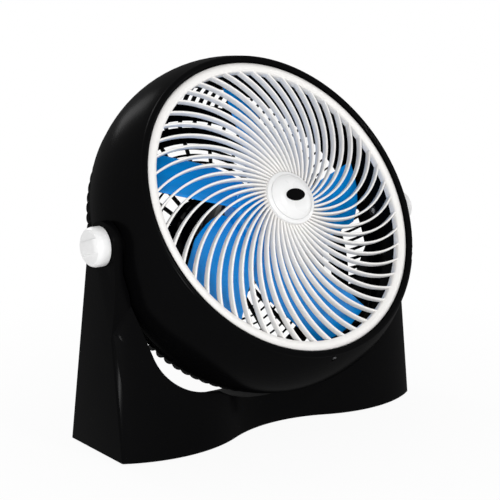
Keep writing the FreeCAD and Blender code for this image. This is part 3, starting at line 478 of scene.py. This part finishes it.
# Front grille: ring, hub boss and spiral ribs in one moulding
def grille_ring():
    """Profile of the crowned ring, an open channel to the rear."""
    inner, outer, wall = 182.0, 195.0, 2.5
    side, knee, rim, crown = -59.0, -60.9, -61.9, -63.1
    bed, back = -57.2, -51.0
    slight, deep, chamfer, drop = 0.8, 2.6, 0.3, 0.2
    ring = [(outer, back - drop)]
    ring += arc((outer, side), (outer - slight, knee), (outer - deep, rim), 3)
    ring += arc((outer - deep, rim), ((inner + outer) / 2, crown), (inner + deep, rim), 6)[1:]
    ring += arc((inner + deep, rim), (inner + slight, knee), (inner, side), 3)[1:]
    ring += [(inner, back - drop), (inner + chamfer, back), (inner + wall - chamfer, back),
             (inner + wall, back - chamfer), (inner + wall, bed), (outer - wall, bed),
             (outer - wall, back - chamfer), (outer - wall + chamfer, back), (outer - chamfer, back)]
    return ring


def grille_boss():
    """Profile of the flanged boss that carries the cap."""
    bore, skirt, outer = 29.0, 32.0, 34.5
    front, bed, foot = -72.4, -69.5, -63.5
    boss = [(bore, front), (outer, front), (outer, foot), (skirt, foot), (skirt, bed), (bore, bed)]
    return rounded(boss, 0.5)


def front_grille():
    start, middle, end = ((x * MM, y * MM, 0.0) for x, y in (RIB_START, RIB_MIDDLE, RIB_END))
    ribs = grown(spiral_ribs(), bpy.data.meshes.new("ribs"), {
        "Count": RIB_COUNT, "Start": start, "Middle": middle, "End": end, "Width": RIB_WIDTH * MM,
        "Depth": RIB_DEPTH * MM, "Edge radius": RIB_EDGE * MM, "Crown": DOME_CROWN * MM, "Fall": DOME_FALL,
        "Material": FINISH["grille_white"]})
    ribs.transform(Matrix.Rotation(math.pi / 2, 4, "X"))
    bm = joined(ribs)
    turned(grille_ring(), RIM_SIDES, bm)
    turned(grille_boss(), HUB_SIDES, bm)
    piece_from(finished(bm, HEAD), "grille_moulding", "head", FINISH["grille_white"],
               ("front_grille",))


# Impeller: pitched blades with rounded edges on a cup-shaped hub
def station_value(t, k):
    """Value k of the blade's stations at t, on a cubic through all four."""
    total = 0.0
    for i, station in enumerate(BLADE_STATIONS):
        weight = 1.0
        for j, mark in enumerate(STATION_MARKS):
            if j != i:
                weight *= (t - mark) / (STATION_MARKS[i] - mark)
        total += weight * station[k]
    return total


def blade_middle(t, v):
    """Point of the blade's middle sheet, t across it and v from root to tip."""
    along = Vector((math.cos(BLADE_TURN), 0, math.sin(BLADE_TURN)))
    aside = Vector((math.sin(BLADE_TURN), 0, -math.cos(BLADE_TURN)))
    offset, root, tip, y = (station_value(t, k) for k in range(4))
    root = max(root, math.sqrt(max(0.0, BLADE_ROOT ** 2 - offset ** 2)))
    return along * (root + (tip - root) * v) + aside * offset + Vector((0, y, 0))


def blade_half(u, v):
    """Half the blade's thickness, falling to nothing in a round edge."""
    gap = min(u * BLADE_CHORD, (1 - u) * BLADE_CHORD, (1 - v) * BLADE_SPAN)
    return BLADE_HALF * math.sqrt(max(0.0, 1 - (1 - min(gap, BLADE_EDGE) / BLADE_EDGE) ** 2))


def blade_mesh():
    # Marks across and along the blade, closer together at its round edges
    edge = (0.0, 0.003, 0.010, 0.020)
    us = edge + tuple(0.05 + 0.9 * i / 14 for i in range(15)) + tuple(1 - e for e in reversed(edge))
    vs = tuple(i / 16 for i in range(16)) + (0.985, 0.993, 0.998, 1.0)
    nudge = 0.01
    bm = bmesh.new()
    sheets = []
    for side in (-1, 1):
        sheet = []
        for u in us:
            row = []
            for v in vs:
                du = blade_middle(min(u + nudge, 1), v) - blade_middle(max(u - nudge, 0), v)
                dv = blade_middle(u, min(v + nudge, 1)) - blade_middle(u, max(v - nudge, 0))
                lift = du.cross(dv).normalized() * blade_half(u, v) * side
                row.append(bm.verts.new((blade_middle(u, v) + lift) * MM))
            sheet.append(row)
        sheets.append(sheet)
    tip = len(vs) - 2
    for sheet in sheets:
        for i, (a, b) in enumerate(zip(sheet, sheet[1:])):
            for k in range(tip):
                bm.faces.new((a[k], a[k + 1], b[k + 1], b[k]))
            # At the tip each quad is split from the blade's corner inwards, so the two sheets share no face
            leading = i < len(us) // 2
            start, end = (a[tip + 1], b[tip]) if leading else (b[tip + 1], a[tip])
            for side in ((a[tip], b[tip + 1]) if leading else (a[tip + 1], b[tip])):
                bm.faces.new((start, side, end))
    low, high = sheets
    for i in range(len(us) - 1):
        bm.faces.new((low[i][0], low[i + 1][0], high[i + 1][0], high[i][0]))
    return finished(bm)


def impeller():
    paint = FINISH["blue_plastic"]
    bore, sleeve, face, outer, wall = 4.1, 11.0, 39.0, 46.0, 3.0
    front, side, rear = -24.0, -17.0, 9.0
    shoulder = (43.95, -21.95)
    inside = [(outer, side), (outer, rear), (outer - wall, rear), (outer - wall, front + wall),
              (sleeve, front + wall), (sleeve, rear), (bore, rear)]
    soft_steps = 3
    hub = [(bore, front)] + arc((face, front), shoulder, (outer, side), 8)
    # The first corner is left out: the shoulder's curve ends there
    hub += rounded(inside, 0.6, soft_steps)[soft_steps + 1:]
    bm = joined(round_axis(blade_mesh(), BLADE_COUNT, paint))
    turned(hub, HUB_SIDES, bm)
    piece_from(finished(bm, HEAD), "impeller_moulding", "impeller", paint, ("fan_blade",),
               sharp=40.0)


# Rear grille: fins that turn round the shoulder, bands, ring plate, cross rings and motor cup
def long_fin(inner):
    """Outer and under edge of a fin that runs over the rear face to the given reach."""
    share = (inner - CUP_REACH) / (SHOULDER_REACH - CUP_REACH)
    face, face_fall, bed, bed_fall = 107.5, 1.5, 100.5, 1.34
    outer = arc(FIN_TOP, (208.0, 77.5), (SHOULDER_REACH, 106.0), 14) + [(inner, face - face_fall * share)]
    under = arc(FIN_FOOT, (200.8, 75.0), (178.5, 99.0), 14) + [(inner, bed - bed_fall * share)]
    return outer, under


def short_fin():
    """Outer and under edge of a fin that ends in the shoulder band."""
    end = 191.0
    return arc(FIN_TOP, (210.5, 72.1), (end, 99.3), 12), arc(FIN_FOOT, (205.7, 65.4), (end, 88.1), 12)


def fin_mesh(outer, under):
    """One fin of the rear grille between its outer and under edge."""
    bm = bmesh.new()
    sides = [[[bm.verts.new((r * MM, y * MM, z * MM)) for r, y in edge] for edge in (outer, under)]
             for z in (-FIN_HALF, FIN_HALF)]
    last = len(outer) - 1
    for top, low in sides:
        for k in range(last):
            bm.faces.new((top[k], top[k + 1], low[k + 1], low[k]))
    (top_a, low_a), (top_b, low_b) = sides
    for k in range(last):
        bm.faces.new((top_a[k], top_a[k + 1], top_b[k + 1], top_b[k]))
        bm.faces.new((low_a[k], low_a[k + 1], low_b[k + 1], low_b[k]))
    for k in (0, last):
        bm.faces.new((top_a[k], low_a[k], low_b[k], top_b[k]))
    bmesh.ops.recalc_face_normals(bm, faces=bm.faces)
    fold, soft = 1.0, 0.6
    break_edges(bm, fold, soft, 2)
    return finished(bm)


def rim_band(paint):
    """Band on the drum's rear edge and its lugs, with room for the screw heads."""
    inner, seat, lip = 210.8, 216.8, 219.6
    front, step, rear = 32.0, 42.0, 45.0
    spot = Matrix.Rotation(-math.radians(LUG_ANGLE), 4, "Y") @ Matrix.Translation((LUG_REACH * MM, 0, 0))
    pocket_r, pocket_end = 3.9, 50.0
    lug_bore, lug_r, lug_front = 2.2, 4.9, 32.2
    pocket = [(0.0, LUG_SEAT), (pocket_r, LUG_SEAT), (pocket_r, pocket_end), (0.0, pocket_end)]
    pockets = round_axis(finished(turned(pocket, LUG_SIDES), spot), LUG_COUNT, paint)
    cutter = bpy.data.objects.new("pockets", pockets)
    band = [(inner, front), (seat, front), (seat, step), (lip, step), (lip, rear), (inner, rear)]
    held = linked("band", finished(turned(rounded(band, 0.5, 2), RIM_SIDES)))
    cut = held.modifiers.new("cut", "BOOLEAN")
    cut.object = cutter
    cut.operation = "DIFFERENCE"
    result = plain_mesh(held)
    bpy.data.objects.remove(cutter)
    lug = finished(turned(bar(lug_bore, lug_r, lug_front, LUG_SEAT, 0.3), LUG_SIDES), spot)
    return result, round_axis(lug, LUG_COUNT, paint)


def rear_grille():
    paint = FINISH["black_plastic"]
    pitch = FULL_TURN / FIN_COUNT
    rows = ((long_fin(CUP_REACH), FIN_COUNT // 4, 0.0), (long_fin(PLATE_REACH), FIN_COUNT // 4, 2 * pitch),
            (short_fin(), FIN_COUNT // 2, pitch))
    fins = [round_axis(fin_mesh(*edges), count, paint, -first) for edges, count, first in rows]
    bm = joined(*fins, *rim_band(paint))
    bed, face = 101.0, 105.6
    plate_inner, plate_outer = 155.0, 178.0
    for r in CROSS_RINGS:
        turned(bar(r - CROSS_HALF, r + CROSS_HALF, bed, face, 0.7), BASKET_SIDES, bm)
    turned(bar(plate_inner, plate_outer, bed, face, 0.8), BASKET_SIDES, bm)
    shoulder = arc((203.2, 78.5), (196.0, 88.8), (187.1, 97.6), 8)
    shoulder += arc((185.6, 95.8), (194.1, 87.3), (201.0, 77.4), 8)
    turned(shoulder, BASKET_SIDES, bm)
    bore, inside, wall, flange = 11.4, 64.4, 67.0, 74.0
    front, floor, lip, rear = 84.0, 87.0, 104.5, 108.0
    cup = [(bore, front), (wall, front), (wall, lip), (flange, lip), (flange, rear), (inside, rear),
           (inside, floor), (bore, floor)]
    turned(rounded(cup, 0.6, 2), CUP_SIDES, bm)
    piece_from(finished(bm, HEAD), "rear_basket", "head", paint, ("rear_grille",))


# Mouldings with broken edges, made from the solids
def softened(node, name, body, slot, width):
    flat, fold = math.radians(0.6), math.radians(28.0)
    bm = joined(nodes[node].data)
    bmesh.ops.remove_doubles(bm, verts=bm.verts, dist=SOLID_MERGE * MM)
    bmesh.ops.dissolve_limit(bm, angle_limit=flat, verts=bm.verts, edges=bm.edges)
    break_edges(bm, fold, width, 3)
    split_large(bm)
    piece_from(as_mesh(bm), name, body, FINISH[slot], (node,), sharp=32.0)


# Screws with pan heads and cross recesses
def cross_screw(shank_r, shank_l, head_r, head_h):
    """Screw along Y with the underside of its head at y = 0."""
    bm = bmesh.new()
    point, taper, edge = 0.5, 0.6, 0.2
    dome = ((1.0, 0.4), (0.94, 0.72), (0.8, 0.92), (0.66, 1.0))
    profile = [(point * shank_r, -shank_l), (shank_r, -shank_l + taper * shank_r), (shank_r, 0.0),
               (head_r - edge, 0.0), (head_r, edge)] + [(r * head_r, y * head_h) for r, y in dome]
    turn = [FULL_TURN * i / SCREW_SIDES for i in range(SCREW_SIDES)]
    rings = [[bm.verts.new((r * math.cos(a) * MM, y * MM, r * math.sin(a) * MM)) for a in turn]
             for r, y in profile]
    for low, high in zip(rings, rings[1:]):
        for i in range(SCREW_SIDES):
            j = (i + 1) % SCREW_SIDES
            bm.faces.new((low[i], low[j], high[j], high[i]))
    bm.faces.new(rings[0])

    # The recess: four arms that narrow towards their bed
    narrow, wide, shrink, bed_y = 0.13 * head_r, 0.5 * head_r, 0.6, 0.35 * head_h
    quarter = ((narrow, -narrow), (wide, -narrow), (wide, narrow))
    mouth, bed = [], []
    for c, s in ((1, 0), (0, 1), (-1, 0), (0, -1)):
        for x, z in quarter:
            across, along = c * x - s * z, s * x + c * z
            mouth.append(bm.verts.new((across * MM, head_h * MM, along * MM)))
            bed.append(bm.verts.new((shrink * across * MM, bed_y * MM, shrink * along * MM)))
    corners = len(mouth)
    rim = [bm.edges.new((mouth[i - 1], mouth[i])) for i in range(corners)]
    top = [bm.edges.get((rings[-1][i - 1], rings[-1][i])) for i in range(SCREW_SIDES)]
    bmesh.ops.triangle_fill(bm, use_beauty=True, edges=rim + top)
    for i in range(corners):
        bm.faces.new((mouth[i - 1], mouth[i], bed[i], bed[i - 1]))
    bm.faces.new(bed)
    split_large(bm)
    return finished(bm)


def head_screws(node, name, count, angle, reach, seat, sizes):
    """Ring of screws round the fan axis, heads to the rear."""
    paint = FINISH["black_steel"]
    screw = cross_screw(*sizes)
    spot = Matrix.Translation((reach * MM, seat * MM, 0))
    screw.transform(Matrix.Rotation(-math.radians(angle), 4, "Y") @ spot)
    ring = round_axis(screw, count, paint)
    piece_from(finished(joined(ring), HEAD), name, "head", paint, (node,))


def back_screws():
    """Screws of the base's back plate, which leans from its heel to the round top of the cheeks."""
    paint = FINISH["black_steel"]
    heel, top_r = 82.5, 29.5
    per_row, half_width, lowest, pitch = 3, 233.0, 35.0, 85.0
    lean = math.acos(top_r / math.hypot(heel, PIVOT_Z)) - math.atan2(PIVOT_Z, heel)
    rows = grown(rows_on_back_plate(), cross_screw(*PLATE_SCREW), {
        "Per row": per_row, "Half width": half_width * MM, "Lowest": lowest * MM, "Pitch": pitch * MM,
        "Heel": (heel + PIVOT_Y) * MM, "Lean": lean, "Material": paint})
    piece_from(finished(joined(rows)), "back_plate_screws", "base", paint, ("back_cover_screws",))


# Raised marks on the motor cover for the stops of the speed dial
def speed_marks():
    paint = FINISH["white_plastic"]
    half_w, low, high, seat, top, chamfer = 0.9, 22.0, 27.5, 126.4, 127.1, 0.3
    bm = bmesh.new()
    rings = []
    for y, inset in ((seat, 0.0), (top - chamfer, 0.0), (top, chamfer)):
        corners = ((-half_w + inset, low + inset), (half_w - inset, low + inset),
                   (half_w - inset, high - inset), (-half_w + inset, high - inset))
        rings.append([bm.verts.new((x * MM, y * MM, z * MM)) for x, z in corners])
    for lower, upper in zip(rings, rings[1:]):
        for k in range(4):
            bm.faces.new((lower[k - 1], lower[k], upper[k], upper[k - 1]))
    bm.faces.new(rings[0])
    bm.faces.new(rings[-1])
    row = round_axis(finished(bm), DIAL_STOPS, paint, sweep=DIAL_STOPS * DIAL_STEP)
    piece_from(finished(joined(row), HEAD), "speed_marks", "head", paint)


front_grille()
impeller()
rear_grille()
head_screws("rear_grille_screws", "basket_screws", LUG_COUNT, LUG_ANGLE, LUG_REACH, LUG_SEAT, BASKET_SCREW)
head_screws("motor_cover_screws", "cover_screws", COVER_COUNT, COVER_ANGLE, COVER_REACH, COVER_SEAT,
            COVER_SCREW)
back_screws()
speed_marks()
softened("tilt_knob_left", "left_knob_moulding", "left_knob", "white_plastic", 0.9)
softened("tilt_knob_right", "right_knob_moulding", "right_knob", "white_plastic", 0.9)
softened("speed_knob", "speed_knob_moulding", "speed_dial", "grey_plastic", 0.7)
softened("base_shell", "saddle_moulding", "base", "black_plastic", 0.9)
softened("hub_badge", "badge_plate", "head", "black_plastic", 0.35)
softened("run_capacitor", "capacitor_body", "head", "capacitor_case", 1.2)
softened("blade_nut", "hub_nut_moulding", "impeller", "grey_plastic", 0.4)


# Floor, light and camera, in metres and watts; the view's centre and the lens are in millimetres
FLOOR_SIZE = 30.0
PAPER_TONE = 0.9
SHADE_NEAR, SHADE_FAR, SHADE_WHITE = 0.2, 0.8, 0.93
WORLD_LIGHT, BACKDROP_WHITE = 0.5, 1.0

# Lamps: name, place, aim, size and power
LAMPS = (
    ("key_front", (0.2, -2.0, 1.6), (0, 0, 0.26), (0.3, 0.3), 11.0),
    ("fill_left", (-1.4, -1.5, 0.35), (0, 0, 0.3), (0.3, 0.3), 17.0),
    ("fill_right", (1.9, -0.9, 0.7), (0, 0, 0.25), (0.5, 1.0), 4.5),
    ("rim_back", (-0.2, 1.8, 1.4), (0, 0, 0.3), (0.4, 0.8), 11.0),
)
VIEW_AZIMUTH, VIEW_ELEVATION = math.radians(-37.8), math.radians(10.82)
VIEW_CENTRE, VIEW_DISTANCE = (-4.35, 0.0, 227.54), 1.598
LENS, SENSOR = 88.03, 36.0


def seen_rays(tree):
    """One where the backdrop is seen straight, mirrored or through something clear."""
    light_path = tree.nodes.new("ShaderNodeLightPath").outputs
    seen = math_node(tree, "MAXIMUM", light_path["Is Camera Ray"], light_path["Is Glossy Ray"])
    return math_node(tree, "MAXIMUM", seen, light_path["Is Transmission Ray"])


def studio_floor():
    """White paper that keeps a little of the fan's shadow close to it."""
    bpy.ops.mesh.primitive_plane_add(size=FLOOR_SIZE, location=(0, 0, 0))
    floor = bpy.context.object
    floor.name = "studio_floor"
    paper = bpy.data.materials.new("Studio paper")
    paper.use_nodes = True
    tree = paper.node_tree
    tree.nodes.clear()
    link = tree.links.new
    out = tree.nodes.new("ShaderNodeOutputMaterial")
    blend = tree.nodes.new("ShaderNodeMixShader")
    matt = tree.nodes.new("ShaderNodeBsdfDiffuse")
    glow = tree.nodes.new("ShaderNodeEmission")
    matt.inputs["Color"].default_value = (PAPER_TONE, PAPER_TONE, PAPER_TONE, 1)
    glow.inputs["Strength"].default_value = BACKDROP_WHITE
    where = tree.nodes.new("ShaderNodeTexCoord")
    far = tree.nodes.new("ShaderNodeVectorMath")
    far.operation = "LENGTH"
    link(where.outputs["Object"], far.inputs[0])
    fade = tree.nodes.new("ShaderNodeMapRange")
    fade.inputs["From Min"].default_value = SHADE_NEAR
    fade.inputs["From Max"].default_value = SHADE_FAR
    fade.inputs["To Min"].default_value = SHADE_WHITE
    fade.inputs["To Max"].default_value = BACKDROP_WHITE
    link(far.outputs["Value"], fade.inputs["Value"])
    link(math_node(tree, "MULTIPLY", seen_rays(tree), fade.outputs["Result"]), blend.inputs["Fac"])
    link(matt.outputs[0], blend.inputs[1])
    link(glow.outputs[0], blend.inputs[2])
    link(blend.outputs[0], out.inputs["Surface"])
    floor.data.materials.append(paper)


def studio_light():
    scene = bpy.context.scene
    scene.view_settings.view_transform = "Standard"
    scene.world = bpy.data.worlds.new("Studio")
    scene.world.use_nodes = True
    tree = scene.world.node_tree
    backdrop = tree.nodes["Background"]
    backdrop.inputs["Color"].default_value = (1, 1, 1, 1)
    level = tree.nodes.new("ShaderNodeMix")
    level.inputs["A"].default_value = WORLD_LIGHT
    level.inputs["B"].default_value = BACKDROP_WHITE
    tree.links.new(seen_rays(tree), level.inputs["Factor"])
    tree.links.new(level.outputs["Result"], backdrop.inputs["Strength"])
    for name, place, aim, size, power in LAMPS:
        lamp = bpy.data.lights.new(name, "AREA")
        lamp.shape = "RECTANGLE"
        lamp.size, lamp.size_y = size
        lamp.energy = power
        held = linked(name, lamp)
        held.location = place
        held.rotation_euler = (Vector(aim) - Vector(place)).to_track_quat("-Z", "Y").to_euler()


def photo_camera():
    """Camera fitted to the photograph: position, view direction and lens."""
    c, s = math.cos(VIEW_AZIMUTH), math.sin(VIEW_AZIMUTH)
    level = math.cos(VIEW_ELEVATION)
    back = Vector((s * level, -c * level, math.sin(VIEW_ELEVATION)))
    right = Vector((c, s, 0))
    up = back.cross(right)
    eye = bpy.data.cameras.new("photo_view")
    eye.lens = LENS
    eye.sensor_width = SENSOR
    eye.clip_end = 2 * FLOOR_SIZE
    held = linked("photo_view", eye)
    turn = Matrix((right, up, back)).transposed().to_4x4()
    held.matrix_world = Matrix.Translation(Vector(VIEW_CENTRE) * MM + back * VIEW_DISTANCE) @ turn
    bpy.context.scene.camera = held


studio_floor()
studio_light()
photo_camera()
